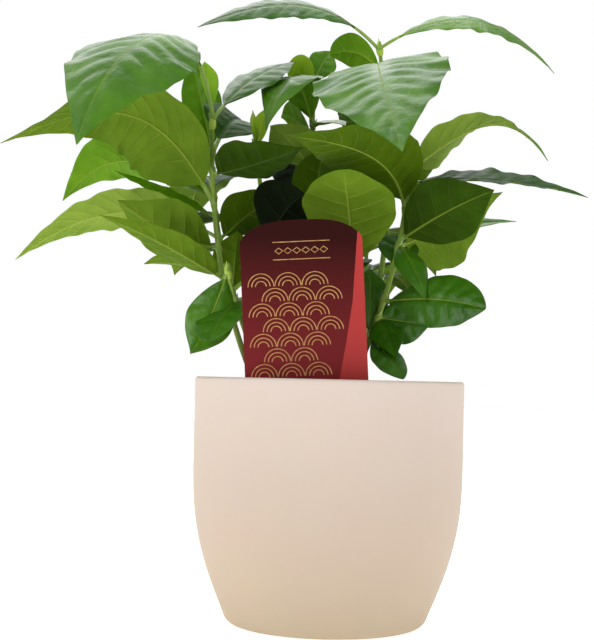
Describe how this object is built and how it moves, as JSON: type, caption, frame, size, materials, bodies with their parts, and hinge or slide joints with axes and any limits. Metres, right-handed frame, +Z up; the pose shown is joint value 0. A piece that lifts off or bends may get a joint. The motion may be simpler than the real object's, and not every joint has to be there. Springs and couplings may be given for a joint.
{
  "type": "potted coffee plant",
  "caption": "Clump of young coffee seedlings with glossy arched leaves, standing in a round cover pot with soil and a plain printed plant label.",
  "frame": {"origin": "centre of the pot's flat underside, on the pot's axis", "axes": "+Z up along the pot's axis, -Y towards the front with the plant label, +X to the right as seen from the front"},
  "size_m": [0.3074, 0.2393, 0.3271],
  "materials": {
    "pot": "matte, cream",
    "soil": "rough, dark brown",
    "label": "satin print, dark red",
    "stem": "satin, green-brown",
    "leaf": "glossy above, matte below, green"
  },
  "bodies": {
    "root": {"pot": "pot", "soil": "soil", "label": "label", "stem_left_front": "stem", "leaves_left_front_low": "leaf", "leaves_left_front_top": "leaf", "stem_left_back": "stem", "leaves_left_back_low": "leaf", "leaves_left_back_top": "leaf", "stem_left_small": "stem", "leaves_left_small": "leaf", "stem_right_tall": "stem", "leaves_right_tall_low": "leaf", "leaves_right_tall_middle": "leaf", "leaves_right_tall_top": "leaf", "stem_right_front": "stem", "leaves_right_front_low": "leaf", "leaves_right_front_middle": "leaf", "leaves_right_front_top": "leaf", "stem_middle_bud": "stem", "leaves_middle_bud": "leaf", "stem_middle_tall": "stem", "leaves_middle_tall_low": "leaf", "leaves_middle_tall_middle": "leaf", "leaves_middle_tall_top": "leaf", "stem_middle_small": "stem", "leaves_middle_small": "leaf", "stem_back_right": "stem", "leaves_back_right_low": "leaf", "leaves_back_right_top": "leaf", "stem_back_left": "stem", "leaves_back_left_low": "leaf", "leaves_back_left_top": "leaf"}
  },
  "joints": []
}
